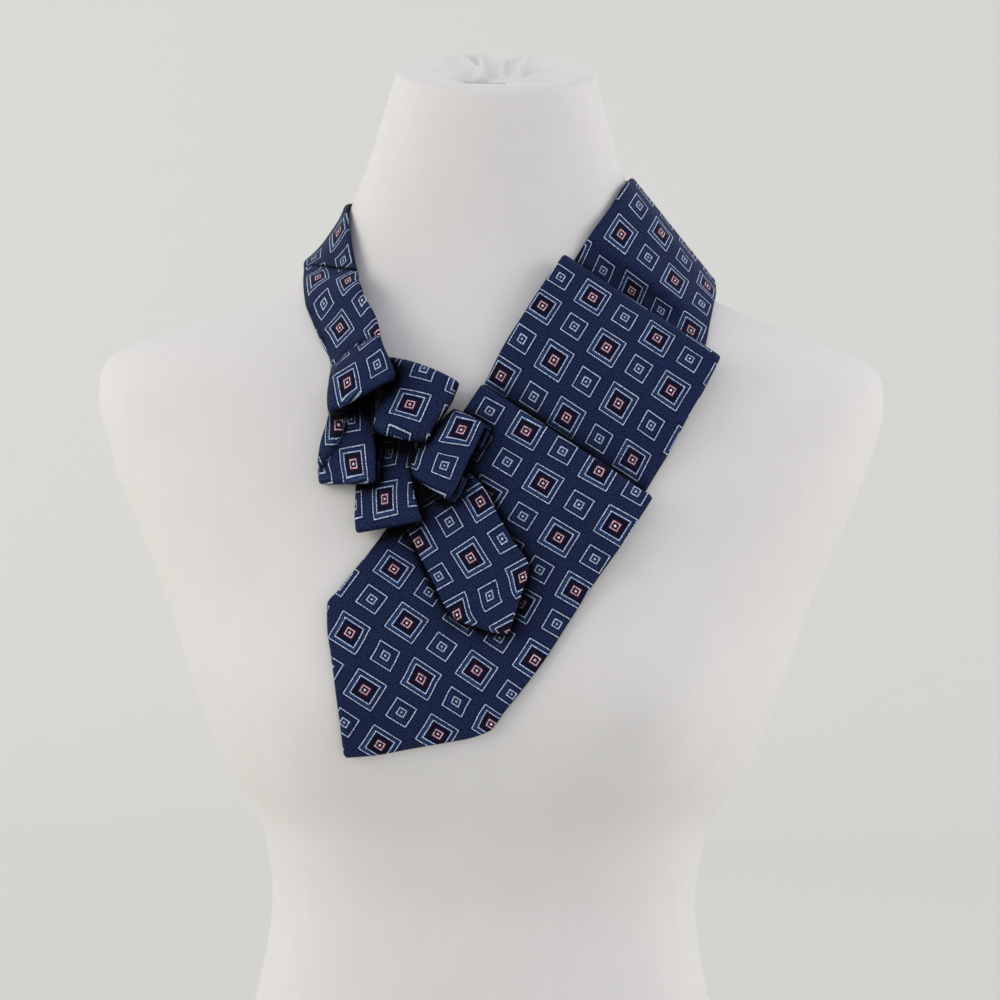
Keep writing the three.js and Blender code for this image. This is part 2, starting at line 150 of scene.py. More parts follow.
halfWidth, frontDepth, backDepth, squareness = (
    smoothColumn(sections["z"], sections[key]) for key in ("half", "front", "back", "square"))


def bustSwell(x, z):
    across = (np.abs(x) - form["bustApart"]) / form["bustWide"]
    up = (z - form["bustCentre"]) / form["bustTall"]
    return form["bustHeight"] * np.exp(-across ** 2 - up ** 2)


def depthAt(x, y, z):
    return np.where(y < 0, frontDepth(z) + bustSwell(x, z), backDepth(z))


def formLevel(p):
    # zero on the form's surface, negative inside it
    x, y, z = p[..., 0], p[..., 1], p[..., 2]
    power = squareness(z)
    across = np.abs(x / halfWidth(z)) ** power
    through = np.abs(y / depthAt(x, y, z)) ** power
    return (across + through) ** (1 / power) - 1


def formSlope(p):
    step = 0.05
    sides = [(formLevel(p + step * axis) - formLevel(p - step * axis)) for axis in np.eye(3)]
    return np.stack(sides, -1) / (2 * step)


def lengthOf(v):
    return np.linalg.norm(v, axis=-1, keepdims=True)


def unit(v):
    return v / np.maximum(lengthOf(v), 1e-9)


def runLength(p):
    # how far along a row of points each of them is
    return np.concatenate([[0], np.cumsum(lengthOf(np.diff(p, axis=0))[:, 0])])


def keepOff(p, lift):
    # moves points straight off the form until they are at least the lift away from it
    for _ in range(4):    # closer each time
        slope = formSlope(p)
        away = formLevel(p)[..., None] / lengthOf(slope)
        p = p + unit(slope) * np.maximum(lift - away, 0)
    return p


def onFront(x, z, lift):
    # points on the form's front, lifted; the two limits hold them steady near its sides
    power = squareness(z)
    inside = np.maximum(1 - np.abs(x / halfWidth(z)) ** power, 0.02)
    y = -depthAt(x, np.full_like(x, -1.0), z) * inside ** (1 / power)
    p = np.stack([x, y, z], -1)
    facing = -unit(formSlope(p))[..., 1]
    p[..., 1] -= lift / np.maximum(facing, 0.4)
    return p


def addObject(name, data):
    made = bpy.data.objects.new(name, data)
    bpy.context.collection.objects.link(made)
    return made


def meshPiece(name, points, faces, material, uvs=None):
    mesh = bpy.data.meshes.new(name)
    mesh.from_pydata((np.asarray(points) * mm).tolist(), [], [list(map(int, f)) for f in faces])
    if uvs is not None:
        layer = mesh.uv_layers.new(name="cut")
        corner = np.array([loop.vertex_index for loop in mesh.loops])
        layer.data.foreach_set("uv", (np.asarray(uvs)[corner] * mm).astype(np.float32).ravel())
    mesh.shade_smooth()
    mesh.materials.append(material)
    return addObject(name, mesh)


# The stretches of the tie, each from its top down. A crease is fromX, fromZ, toX, toZ, rise and
# width, and a tuck's hides say how far it moves the repeat on, across and along the cut.
frontColumns = "leftX leftZ rightX rightZ leftLift rightLift"
collarColumns = "leftX leftY leftZ rightX rightY rightZ"


def frontRows(rows):
    # rows that follow the form, with where their edges are in the front view and their lifts
    t = table(frontColumns, rows)
    t["leftY"] = onFront(t["leftX"], t["leftZ"], t["leftLift"])[:, 1]
    t["rightY"] = onFront(t["rightX"], t["rightZ"], t["rightLift"])[:, 1]
    t["follow"] = np.ones(len(rows))
    return t


def collarRows(rows):
    # rows that run straight from edge to edge over the hollow beside the neck
    t = table(collarColumns, rows)
    t["leftLift"] = t["rightLift"] = np.full(len(rows), firstLift)
    t["follow"] = np.zeros(len(rows))
    return t


def joinRows(first, second):
    return {key: np.concatenate([first[key], second[key]]) for key in first}


def pastLine(line, x, z):
    # how far points lie below a line of the front view, square to it
    lineX, lineZ = np.array(line, float).T
    middles = (lineX[1:] + lineX[:-1]) / 2
    slope = np.interp(x, middles, np.diff(lineZ) / np.diff(lineX))
    return (np.interp(x, lineX, lineZ) - z) / np.sqrt(1 + slope ** 2)


def smoothStep(share):
    share = np.clip(share, 0, 1)
    return share * share * (3 - 2 * share)


noCurl = {"width": 1, "drop": 0}


class Ribbon:
    def __init__(self, rows, settings):
        left = np.stack([rows["leftX"], rows["leftY"], rows["leftZ"]], -1)
        right = np.stack([rows["rightX"], rows["rightY"], rows["rightZ"]], -1)
        places = runLength((left + right) / 2)
        self.length = places[-1]
        self.left = [smoothColumn(places, left[:, i]) for i in range(3)]
        self.right = [smoothColumn(places, right[:, i]) for i in range(3)]
        self.leftLift = smoothColumn(places, rows["leftLift"])
        self.rightLift = smoothColumn(places, rows["rightLift"])
        self.follow = smoothColumn(places, rows["follow"])
        self.creases = settings.get("creases", ())
        self.leftCurl = settings.get("leftCurl", noCurl)
        self.rightCurl = settings.get("rightCurl", noCurl)
        self.tucks = settings.get("tucks", ())
        self.bow = settings.get("bow", 0)    # how far the top edge rises between its corners

    def edges(self, place):
        return (np.stack([curve(place) for curve in side], -1) for side in (self.left, self.right))

    def points(self, place, across, extraLift):
        left, right = self.edges(place)
        p = left + (right - left) * across[..., None]
        p[..., 2] += self.bow * 4 * across * (1 - across) * np.clip(1 - place / self.length, 0, 1)
        follow = self.follow(place)
        lift = self.leftLift(place) * (1 - across) + self.rightLift(place) * across
        width = lengthOf(right - left)[..., 0]
        detail = extraLift + creaseHeight(self.creases, p[..., 0], p[..., 2])
        detail = detail - curlDrop(self.leftCurl, across * width)
        detail = detail - curlDrop(self.rightCurl, (1 - across) * width)
        for tuck in self.tucks:
            past = pastLine(tuck["line"], p[..., 0], p[..., 2])
            detail = detail + tuck["rise"] * smoothStep(past / tuck["width"] + 0.5)
            detail = detail - tuck["trough"] * np.exp(-(past / tuck["width"]) ** 2)
        onForm = onFront(p[..., 0], p[..., 2], lift + detail)
        offRow = p + unit(formSlope(p)) * detail[..., None]
        p = offRow + (onForm - offRow) * follow[..., None]
        return keepOff(p, firstLift)

    def hiddenCloth(self, mid):
        # cloth that a tuck takes up, which moves the repeat on past it
        hidden = np.zeros(mid.shape[:2] + (2,))
        for tuck in self.tucks:
            past = pastLine(tuck["line"], mid[..., 0], mid[..., 2])
            share = smoothStep(past / tuck["width"] + 0.5)
            hidden += share[..., None] * np.array(tuck["hides"], float)
        return hidden


def curlDrop(curl, distance):
    # how far a side of the cloth curls back at a distance from its edge
    return curl["drop"] * np.clip(1 - distance / curl["width"], 0, 1) ** 2


def creaseHeight(creases, x, z):
    # long soft ridges, or troughs where the rise is negative, between points of one flat view
    height = np.zeros_like(x)
    for fromX, fromZ, toX, toZ, rise, width in creases:
        alongX, alongZ = toX - fromX, toZ - fromZ
        span = alongX ** 2 + alongZ ** 2
        near = np.clip(((x - fromX) * alongX + (z - fromZ) * alongZ) / span, 0, 1)
        off = (x - fromX - near * alongX) ** 2 + (z - fromZ - near * alongZ) ** 2
        height = height + rise * np.exp(-off / width ** 2)
    return height


def foldPath(fold, step):
    # place, lift and whether it returns, from the hidden end of a fold to its visible side
    runSteps = max(2, round((fold["depth"] - fold["radius"]) / step))
    run = np.linspace(fold["depth"], fold["radius"], runSteps, endpoint=False)
    angles = np.linspace(0, math.pi, fold["turnSteps"], endpoint=False)
    sine, cosine = np.sin(angles), np.cos(angles)
    power = 2 / fold["crisp"]
    place = np.concatenate([run, fold["radius"] * (1 - sine ** power)])
    turnLift = -layerStep + fold["radius"] * (1 - np.sign(cosine) * np.abs(cosine) ** power)
    lift = np.concatenate([np.full(runSteps, -layerStep), turnLift])
    returning = np.concatenate([np.ones(runSteps), np.cos(angles) > 0.01])
    return np.stack([place, lift, returning])


def ribbonPath(length, topFold, bottomFold):
    step = cloth["rowStep"]
    start = topFold["radius"] if topFold else 0
    end = length - (bottomFold["radius"] if bottomFold else 0)
    place = np.linspace(start, end, round((end - start) / step) + 1)
    lift = np.zeros_like(place)
    parts = []
    if topFold:
        bulge = 2 * topFold["radius"] - layerStep
        lift += bulge * np.exp(-(place - start) / topFold["settle"])
        parts.append(foldPath(topFold, step))
    if bottomFold:
        bulge = 2 * bottomFold["radius"] - layerStep
        lift += bulge * np.exp(-(end - place) / bottomFold["settle"])
    parts.append(np.stack([place, lift, np.zeros_like(place)]))
    if bottomFold:
        below = foldPath(bottomFold, step)[:, ::-1]
        below[0] = length - below[0]
        parts.append(below)
    return np.concatenate(parts, axis=1)


def acrossSteps(width):
    # shares of the width, closer together at the rounded edges
    turns = np.linspace(0, math.pi / 2, cloth["edgeSteps"] + 1)
    edge = cloth["edgeRound"] * (1 - np.cos(turns)) / width
    count = max(4, round((width - 2 * cloth["edgeRound"]) / cloth["columnStep"]))
    middle = np.linspace(edge[-1], 1 - edge[-1], count + 1)
    return np.concatenate([edge[:-1], middle, 1 - edge[:-1][::-1]])


def wallFaces(rowCount, columnCount):
    # the outer grid, then the inner one, which shares the side edges with it
    outer = np.arange(rowCount * columnCount).reshape(rowCount, columnCount)
    inner = outer.copy()
    innerOnly = np.arange(rowCount * (columnCount - 2)).reshape(rowCount, -1)
    inner[:, 1:-1] = rowCount * columnCount + innerOnly
    faces = []
    for i in range(rowCount - 1):
        for j in range(columnCount - 1):
            faces.append((outer[i, j], outer[i + 1, j], outer[i + 1, j + 1], outer[i, j + 1]))
            faces.append((inner[i, j], inner[i, j + 1], inner[i + 1, j + 1], inner[i + 1, j]))
    for j in range(columnCount - 1):
        last = rowCount - 1
        for i, (a, b) in ((0, (j, j + 1)), (last, (j + 1, j))):
            ends = [outer[i, a], outer[i, b], inner[i, b], inner[i, a]]
            faces.append(list(dict.fromkeys(ends)))
    return faces


def edgeInset(mid, along, width, shares):
    # how far in from the nearer side edge each point is, square to it, as a share of the rounding
    rowDirection = unit(mid[:, -1] - mid[:, 0])
    distances = []
    for edge, fromEdge in ((0, shares), (-1, 1 - shares)):
        square = lengthOf(np.cross(unit(along[:, edge]), rowDirection))[:, 0]
        distances.append(fromEdge[None, :] * width[:, None] * np.maximum(square, 0.3)[:, None])
    return np.clip(np.minimum(*distances) / cloth["edgeRound"], 0, 1)


noPull = ((1, 0), (0, 1))    # how the bias cut cloth is pulled: across and along its length


def cutPlaces(mid, shares, settings):
    # how far across and along the flat cloth each point is, then the cloth's widths and lengths
    centre = mid[:, mid.shape[1] // 2]
    run = runLength(centre)
    rowVector = mid[:, -1] - mid[:, 0]
    skew = (rowVector * unit(np.gradient(centre, axis=0))).sum(-1)
    window = cloth["grainWindow"]
    kernel = np.ones(2 * window + 1) / (2 * window + 1)
    skew = np.convolve(np.pad(skew, window, "edge"), kernel, "valid")
    square = np.sqrt(np.maximum((rowVector ** 2).sum(-1) - skew ** 2, 0.01))
    # the repeat is laid from the middle, or from the side that patternFrom names, 0 to 1
    fromLine = shares[None, :] - settings.get("patternFrom", 0.5)
    u = square[:, None] * fromLine
    v = run[:, None] + skew[:, None] * fromLine
    cut = np.stack([u, v], -1) @ np.array(settings.get("patternPull", noPull)).T
    return cut + np.array(settings.get("patternShift", (0, 0))), square, run


def ribbonPiece(name, rows, settings, material):
    ribbon = Ribbon(rows, settings)
    topFold, bottomFold = settings.get("topFold"), settings.get("bottomFold")
    place, lift, returning = ribbonPath(ribbon.length, topFold, bottomFold)
    left, right = ribbon.edges(place)
    width = lengthOf(right - left)[:, 0]
    shares = acrossSteps(np.median(width))
    reach = np.where(returning > 0.5, 1 + settings.get("returnSpread", 0) / width, 1.0)
    across = shares[None, :] * reach[:, None]
    mid = ribbon.points(np.repeat(place[:, None], len(shares), 1), across, lift[:, None])

    along, sideways = np.gradient(mid, axis=0), np.gradient(mid, axis=1)
    normal = unit(np.cross(along, sideways))
    inset = edgeInset(mid, along, width, shares)
    half = cloth["thickness"] / 2 * np.sqrt(1 - (1 - inset) ** 2)
    outer = mid + normal * half[..., None]
    inner = mid - normal * half[..., None]
    points = np.concatenate([outer.reshape(-1, 3), inner[:, 1:-1].reshape(-1, 3)])
    cut, square, run = cutPlaces(mid, shares, settings)
    cut += ribbon.hiddenCloth(mid)
    uvs = np.concatenate([cut.reshape(-1, 2), cut[:, 1:-1].reshape(-1, 2)])

    piece = meshPiece(name, points, wallFaces(*mid.shape[:2]), material, uvs)
    print(f"{name}: {np.median(square):.0f} mm wide, {run[-1]:.0f} mm long")
    return piece, outer


# Shader maths as expressions
class Value:
    def __init__(self, shader, socket):
        self.shader, self.socket = shader, socket

    def __add__(self, other):
        return self.shader.math("ADD", self, other)

    def __sub__(self, other):
        return self.shader.math("SUBTRACT", self, other)

    def __rsub__(self, other):
        return self.shader.math("SUBTRACT", other, self)

    def __mul__(self, other):
        return self.shader.math("MULTIPLY", self, other)

    def __truediv__(self, other):
        return self.shader.math("DIVIDE", self, other)

    __radd__ = __add__
    __rmul__ = __mul__

    def __abs__(self):
        return self.shader.math("ABSOLUTE", self)


class Shader:
    def __init__(self, name):
        self.material = bpy.data.materials.new(name)
        self.material.use_nodes = True
        self.tree = self.material.node_tree
        self.tree.nodes.clear()

    def node(self, kind, settings=None, inputs=None):
        made = self.tree.nodes.new("ShaderNode" + kind)
        for key, value in (settings or {}).items():
            setattr(made, key, value)
        for key, value in (inputs or {}).items():
            socket = made.inputs[key]
            if isinstance(value, Value):
                self.tree.links.new(value.socket, socket)
            else:
                socket.default_value = value
        return made

    def value(self, made, output=0):
        return Value(self, made.outputs[output])

    def math(self, operation, *values):
        inputs = dict(enumerate(values))
        return self.value(self.node("Math", {"operation": operation}, inputs))

    def smooth(self, value, start, end):
        settings = {"interpolation_type": "SMOOTHSTEP"}
        inputs = {"Value": value, "From Min": start, "From Max": end}
        return self.value(self.node("MapRange", settings, inputs))

    def mix(self, share, first, second):
        settings = {"data_type": "RGBA", "blend_type": "MIX"}
        inputs = {0: share, 6: first, 7: second}
        return self.value(self.node("Mix", settings, inputs), 2)

    def cutPlace(self):
        # the UV map of the flat cut, and its two parts in millimetres
        uv = self.value(self.node("UVMap", {"uv_map": "cut"}))
        split = self.node("SeparateXYZ", None, {0: uv})
        return uv, self.value(split, 0) * (1 / mm), self.value(split, 1) * (1 / mm)

    def paintedCreviceShade(self):
        # the painted shade attribute, 1 in the open and less in crevices
        return self.value(self.node("Attribute", {"attribute_name": "shade"}), 2)

    def bump(self, strength, distance, height):
        inputs = {"Strength": strength, "Distance": distance * mm, "Height": height}
        return self.value(self.node("Bump", None, inputs))

    def finish(self, shaderNode):
        output = self.node("OutputMaterial")
        self.tree.links.new(shaderNode.outputs[0], output.inputs["Surface"])
        return self.material


def colour(red, green, blue):
    # a colour as a picture shows it, from 0 to 255
    return tuple(
        c / 12.92 if c <= 0.04045 else ((c + 0.055) / 1.055) ** 2.4
        for c in (red / 255, green / 255, blue / 255)) + (1,)


silkLook = {
    "pitch": 20.2,          # from a large square to the next small one
    "largeSide": 15.3,
    "bandSide": 12.8,       # of the blue stripe between the two lines
    "innerSide": 10.6,
    "smallSide": 10.8,
    "hookSide": 7.6,        # of the faint stripe along two sides of a small square
    "centreSide": 3.7,
    "dotSide": 1.1,
    "line": 0.54,
    "stripe": 0.7,
    "hookLine": 0.6,
    "cornerLine": 0.5,
    "emberMargin": 2.4,     # of the warm ground round the centre square
    "haloFrom": 0.2,
    "halo": 1.6,            # dark space on each side of a line
    "soft": 0.14,
    "raggedRib": 0.07,      # the threads of a line stand a little to either side of it
    "raggedGrain": 0.3,
    "ground": colour(30, 41, 75),
    "dark": colour(6, 9, 24),
    "lineColour": colour(184, 202, 236),
    "stripeColour": colour(48, 74, 122),
    "heart": colour(16, 16, 40),
    "ember": colour(46, 26, 48),
    "pink": colour(236, 188, 200),
    "pale": colour(188, 208, 238),
    "dot": colour(240, 228, 236),
    "largeHaloShare": 0.85,
    "smallHaloShare": 0.75,
    "emberShare": 0.6,
    "stripeShares": (0.3, 0.5),    # all round, and what two of the sides have besides
    "hookShare": 0.5,
    "cornerShare": 0.45,
    "smallDotFade": 0.4,
    "ribPitch": 0.9,
    "ribShade": 0.8,
    "grainScale": 1900.0,
    "grainShade": 6,
    "weaveDarkest": 0.15,
    "bump": 0.35,
    "bumpDepth": 0.12,
    "roughness": 0.5,
    "specular": 0.05,
    "sheen": 0.03,
    "sheenTint": colour(150, 180, 240),
}


def silkMaterial():
    look = silkLook
    s = Shader("foulardSilk")
    uv, u, v = s.cutPlace()
    rib = s.math("SINE", (u + v) * (math.sqrt(2) * math.pi / look["ribPitch"]))
    grains = s.node("TexNoise", {"noise_dimensions": "2D"},
                    {"Vector": uv, "Scale": look["grainScale"], "Detail": 1.0})
    grain = s.value(grains) - 0.5
    weave = rib * 0.5 + grain * look["grainShade"]
    ragged = rib * look["raggedRib"] + grain * look["raggedGrain"]
    cellU = s.math("FLOOR", u / look["pitch"] + 0.5)
    cellV = s.math("FLOOR", v / look["pitch"] + 0.5)
    offU = u - cellU * look["pitch"]
    offV = v - cellV * look["pitch"]
    isSmall = s.math("FLOORED_MODULO", cellU + cellV, 2)
    farU, farV = abs(offU), abs(offV)
    reach = s.math("MAXIMUM", farU, farV)

    def band(off, width):
        return 1 - s.smooth(off + ragged, width / 2 - look["soft"], width / 2 + look["soft"])

    def line(side, width=look["line"]):
        return band(abs(reach - side / 2), width)

    def halo(side):
        return 1 - s.smooth(abs(reach - side / 2), look["haloFrom"], look["halo"])

    def inside(side):
        return band(reach, side)

    twoSides = s.math("GREATER_THAN", offV - offU, 0)
    corners = band(abs(farU - farV), look["cornerLine"]) * (1 - inside(look["largeSide"]))
    allRound, besides = look["stripeShares"]
    stripe = line(look["bandSide"], look["stripe"]) * (allRound + twoSides * besides)
    hook = line(look["hookSide"], look["hookLine"]) * twoSides
    ember = inside(look["centreSide"] + look["emberMargin"])
    large = s.mix(halo(look["largeSide"]) * look["largeHaloShare"], look["ground"], look["dark"])
    large = s.mix(inside(look["innerSide"]), large, look["heart"])
    large = s.mix(ember * look["emberShare"], large, look["ember"])
    large = s.mix(stripe, large, look["stripeColour"])
    large = s.mix(line(look["largeSide"]), large, look["lineColour"])
    large = s.mix(line(look["innerSide"]), large, look["lineColour"])
    large = s.mix(line(look["centreSide"]), large, look["pink"])
    large = s.mix(corners * look["cornerShare"], large, look["dark"])
    small = s.mix(halo(look["smallSide"]) * look["smallHaloShare"], look["ground"], look["dark"])
    small = s.mix(hook * look["hookShare"], small, look["stripeColour"])
    small = s.mix(line(look["smallSide"]), small, look["lineColour"])
    small = s.mix(line(look["centreSide"]), small, look["pale"])
    figured = s.mix(isSmall, large, small)
    dotShare = 1 - isSmall * look["smallDotFade"]
    figured = s.mix(inside(look["dotSide"]) * dotShare, figured, look["dot"])
    woven = s.math("MAXIMUM", 1 + weave * look["ribShade"], look["weaveDarkest"])
    # the weave's grain, times painted shade in the crevices between folds
    shade = s.node("HueSaturation", None, {"Value": woven * s.paintedCreviceShade(), "Color": figured})

    silk = s.node("BsdfPrincipled", None, {
        "Base Color": s.value(shade),
        "Roughness": look["roughness"],
        "Specular IOR Level": look["specular"],
        "Sheen Weight": look["sheen"],
        "Sheen Roughness": 0.35,
        "Sheen Tint": look["sheenTint"],
        "Normal": s.bump(look["bump"], look["bumpDepth"], weave),
    })
    return s.finish(silk)


jerseyLook = {
    "colour": colour(234, 231, 229),
    "shade": colour(231, 228, 226),
    "deep": colour(112, 106, 104),    # painted shade in the gather's crevices
    "cloudScale": 22.0,
    "wale": 0.8,
    "bump": 0.1,
    "bumpDepth": 0.1,
    "roughness": 0.9,
    "specular": 0.2,
    "sheen": 0.25,
}


def jerseyMaterial():
    look = jerseyLook
    s = Shader("jersey")
    _, u, v = s.cutPlace()
    wale = s.math("SINE", u * (2 * math.pi / look["wale"]))
    course = s.math("SINE", v * (2 * math.pi / look["wale"]))
    cloudy = s.node("TexNoise", None, {"Scale": look["cloudScale"], "Detail": 2.0})
    cloud = s.mix(s.smooth(s.value(cloudy), 0.2, 0.8), look["colour"], look["shade"])
    jersey = s.node("BsdfPrincipled", None, {
        # painted shade: the cover is darkened towards deep in the gather's crevices, from the shade
        # attribute
        "Base Color": s.mix(s.paintedCreviceShade(), look["deep"], cloud),
        "Roughness": look["roughness"],
        "Specular IOR Level": look["specular"],
        "Sheen Weight": look["sheen"],
        "Sheen Roughness": 0.5,
        "Normal": s.bump(look["bump"], look["bumpDepth"], wale + course * 0.5),
    })
    return s.finish(jersey)


silk = silkMaterial()
jersey = jerseyMaterial()
print("materials made")


# The form
def formRing(height, scale=1.0, rise=0.0):
    # a level ring, or one that leans with the slanted top of the neck
    tilted = form["neckTopHeight"] - form["neckTiltStart"]
    lean = max(0, (height - form["neckTiltStart"]) / tilted)
    turn = np.linspace(0, 2 * math.pi, form["segments"], endpoint=False)
    cos, sin = np.cos(turn), np.sin(turn)
    z = np.full_like(turn, height)
    for _ in range(3):    # the lean changes the heights that the section is taken at
        power = 2 / squareness(z)
        x = np.sign(cos) * np.abs(cos) ** power * halfWidth(z)
        y = np.sign(sin) * np.abs(sin) ** power
        y = y * depthAt(x, sin, z)
        z = height + lean * form["neckTopSlope"] * (y - form["neckTopAxis"])
    middleY = form["neckTopAxis"] if lean > 0 else 0
    z = z + rise + lean * form["neckTopSlope"] * (y - form["neckTopAxis"]) * (scale - 1)
    return np.stack([x * scale, middleY + (y - middleY) * scale, z], -1)


def formPiece():
    sideTop = form["neckTopHeight"] - form["neckTopRounding"]
    rounding = form["baseRounding"]
    rings = []
    baseHalf = sections["half"][0]
    for degrees in (0, 30, 60):    # the base's rounded rim
        turn = math.radians(degrees)
        inset = rounding * (1 - math.sin(turn))
        rings.append(formRing(rounding * (1 - math.cos(turn)), 1 - inset / baseHalf))
    for height in np.linspace(rounding, sideTop, round((sideTop - rounding) / form["rowStep"])):
        rings.append(formRing(height))
    topHalf = halfWidth(np.array(sideTop))
    rounding = form["neckTopRounding"]
    for degrees in (15, 30, 45, 60, 75, 90):
        turn = math.radians(degrees)
        inset = rounding * (1 - math.cos(turn))
        rings.append(formRing(sideTop, 1 - inset / topHalf, rounding * math.sin(turn)))
    for share in np.linspace(form["topFrom"], form["topTo"], form["topRings"]):
        rings.append(formRing(sideTop, share, rounding))
    rings = np.array(rings)
    onTop = rings[-form["topRings"] - 2:]    # with the last two rings of the rounding
    onTop[..., 2] += creaseHeight(neckGathers, onTop[..., 0], onTop[..., 1])
    rowCount, count = rings.shape[:2]
    points = list(rings.reshape(-1, 3)) + [rings[0].mean(0), rings[-1].mean(0)]
    baseCentre, topCentre = rowCount * count, rowCount * count + 1
    lastRing = (rowCount - 1) * count
    faces = []
    for r in range(rowCount - 1):
        for i in range(count):
            a, b = r * count + i, r * count + (i + 1) % count
            faces.append((a, b, b + count, a + count))
    for i in range(count):
        j = (i + 1) % count
        faces.append((j, i, baseCentre))
        faces.append((lastRing + i, lastRing + j, topCentre))
    around = np.linspace(0, 2 * math.pi, count, endpoint=False)
    widths = np.abs(rings[:, :, 0]).max(1)
    u = around[None, :] * widths[:, None]
    v = np.repeat(runLength(rings[:, 0])[:, None], count, 1)
    uvs = np.concatenate([np.stack([u, v], -1).reshape(-1, 2), [[0, 0], [0, v[-1, 0]]]])
    return meshPiece("form_cover", points, faces, jersey, uvs)


formCover = formPiece()
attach(formCover, "root")
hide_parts("dress_form")
print("form made")

# settle is the run in which the turn's bulge goes down, and crisp is 2 for a round turn
wideFold = {"radius": 2.4, "depth": 30, "settle": 12, "turnSteps": 12, "crisp": 2.6}
bladeFold = {"radius": 2.3, "depth": 24, "settle": 10, "turnSteps": 12, "crisp": 2.6}
endFold = {"radius": 2.3, "depth": 11, "settle": 8, "turnSteps": 12, "crisp": 2.4}
loopFold = {"radius": 2.5, "depth": 12, "settle": 8, "turnSteps": 12, "crisp": 2.4}
rollFold = {"radius": 4, "depth": 13, "settle": 8, "turnSteps": 16, "crisp": 2}

stretches = {}
outerPoints = {}    # the outer face of each stretch, in rows from its hidden end


def addStretch(name, rows, settings):
    piece, outerPoints[name] = ribbonPiece(name + "_silk", rows, settings, silk)
    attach(piece, "root")
    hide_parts(name)
    stretches[name] = piece


neckBackRows = collarRows([
    (-98.35, -9.5, 538.6, -68.7, -44.6, 534.1),
    (-98.6, -3, 541, -71.2, -37.6, 543.6),
    (-97.6, 6, 542.4, -74.2, -25, 559.6),
    (-94.6, 18, 543, -75.2, -6, 570.4),
    (-90, 30, 543, -69.4, 23, 575),
    (-67.5, 57, 543, -52.8, 41.2, 578),
    (-34, 75, 542, -28.2, 53, 580.5),
    (0, 80, 540, 0, 56.4, 583),
    (35, 76.5, 537, 28.2, 52.8, 585.5),
    (63, 65.5, 534.5, 45, 43.6, 587),
    (75, 58.2, 534, 53.6, 37, 587.6),
    (89.4, 46.6, 533.5, 58.4, 31.8, 588),
])
addStretch("neck_back", neckBackRows, {
    "patternShift": (9.2, 3.6),
    "flat": (0.047, 0.235),
    "held": "draped",
    "restsOn": ["form_cover"],
})

neckRightRows = joinRows(
    collarRows([
        (59, 31, 588, 90, 46, 533.5),
        (66, 21, 588, 106.5, 27, 533.5),
        (71.2, 2, 588, 116, 4, 534),
        (66.6, -22.5, 581.5, 115.4, -14, 527.5),
        (58.4, -35.5, 567.5, 113, -29, 519.5),
        (50.2, -43, 555.8, 110.2, -43, 509.2),
    ]),
    frontRows([
        (43, 544, 107.4, 498, 2.3, 2.6),
        (35, 530, 102.5, 484.7, 2.2, 2.3),
        (27.4, 518, 95.8, 471.4, 2.2, 2.2),
        (24.2, 513, 93, 466, 2.2, 2.2),
    ]),
)
addStretch("neck_right", neckRightRows, {
    "patternPull": ((1.137, 0), (-0.171, 0.95)),
    "patternShift": (7.2, 15.6),
    "creases": [
        (58, 527, 84, 486, -0.7, 6),
        (45, 520, 62, 505, 0.5, 5),
        (98, 511, 92, 480, 0.6, 5),
    ],
    "flat": (0.075, 0.125),
    "held": "draped",
    "restsOn": ["form_cover"],
})

pleatRows = frontRows([
    (35, 542, 113.7, 491, 8.6, 9),
    (24.7, 526.5, 105.2, 474.5, 8.6, 9),
    (15.2, 511, 96.3, 459.3, 8.2, 8.6),
    (5.7, 495, 88.9, 444.8, 4.8, 5),
    (-2.6, 477.5, 80.8, 431.4, 2.5, 2.5),
    (-10, 462, 72.2, 417, 2.3, 2.3),
    (-14, 454, 67.4, 409.5, 2.2, 2.2),
])
addStretch("upper_pleat", pleatRows, {
    "patternPull": ((1.056, 0), (-0.093, 0.982)),
    "patternShift": (4.2, 11.4),
    "creases": [
        (34, 512, 22, 484, -0.5, 6),
        (58, 500, 50, 470, 0.4, 7),
        (88, 480, 74, 440, -0.7, 6),
        (12, 476, 40, 452, 0.5, 5),
        (70, 468, 66, 430, 0.5, 5),
    ],
    "topFold": wideFold,
    "flat": (0.096, 0.135),
    "held": "folded",
    "restsOn": ["neck_right_silk", "form_cover"],
})

bladeRows = frontRows([
    (-5, 475, 79.2, 420.5, 8.6, 8.8),
    (-11.4, 465, 72.5, 410, 8.6, 8.8),
    (-17.8, 455.5, 65.9, 400, 8.2, 8.6),
    (-23.8, 445.5, 59.2, 390.5, 6.4, 6.8),
    (-29.9, 436, 52.5, 381, 4.2, 4.4),
    (-41.9, 416.5, 39.9, 361.5, 2.6, 2.6),
    (-54.3, 397.5, 27.6, 342, 2.2, 2.3),
    (-66.7, 381.5, 14, 323.5, 2.2, 2.6),
    (-72, 374.5, 8.1, 316, 2.2, 2.8),
    (-77.5, 367, 3.2, 308.6, 2.2, 2.6),
    (-77, 355.5, -6.8, 304.2, 2.2, 2.3),
    (-75, 344.5, -17.5, 302, 2.2, 2.2),
    (-72.2, 327, -35, 298.8, 2.2, 2.2),
    (-69.6, 308.5, -53, 295.3, 2.2, 2.2),
    (-68.2, 296, -66.2, 293.9, 2.2, 2.2),
])
addStretch("front_blade", bladeRows, {
    "patternPull": ((0.992, -0.048), (0.045, 1.081)),
    "patternShift": (20.6, 5.7),
    "creases": [
        (40, 440, 8, 392, -0.6, 7),
        (64, 412, 34, 368, 0.5, 7),
        (-44, 408, -62, 372, 0.5, 6),
        (-20, 380, -46, 336, -0.6, 8),
        (6, 350, -22, 314, 0.4, 6),
        (-58, 352, -62, 306, -0.5, 6),
    ],
    "topFold": bladeFold,
    "flat": (0.1, 0.231),
    "area": 0.0205,
    "held": "folded",
    "restsOn": ["upper_pleat_silk", "form_cover"],
})

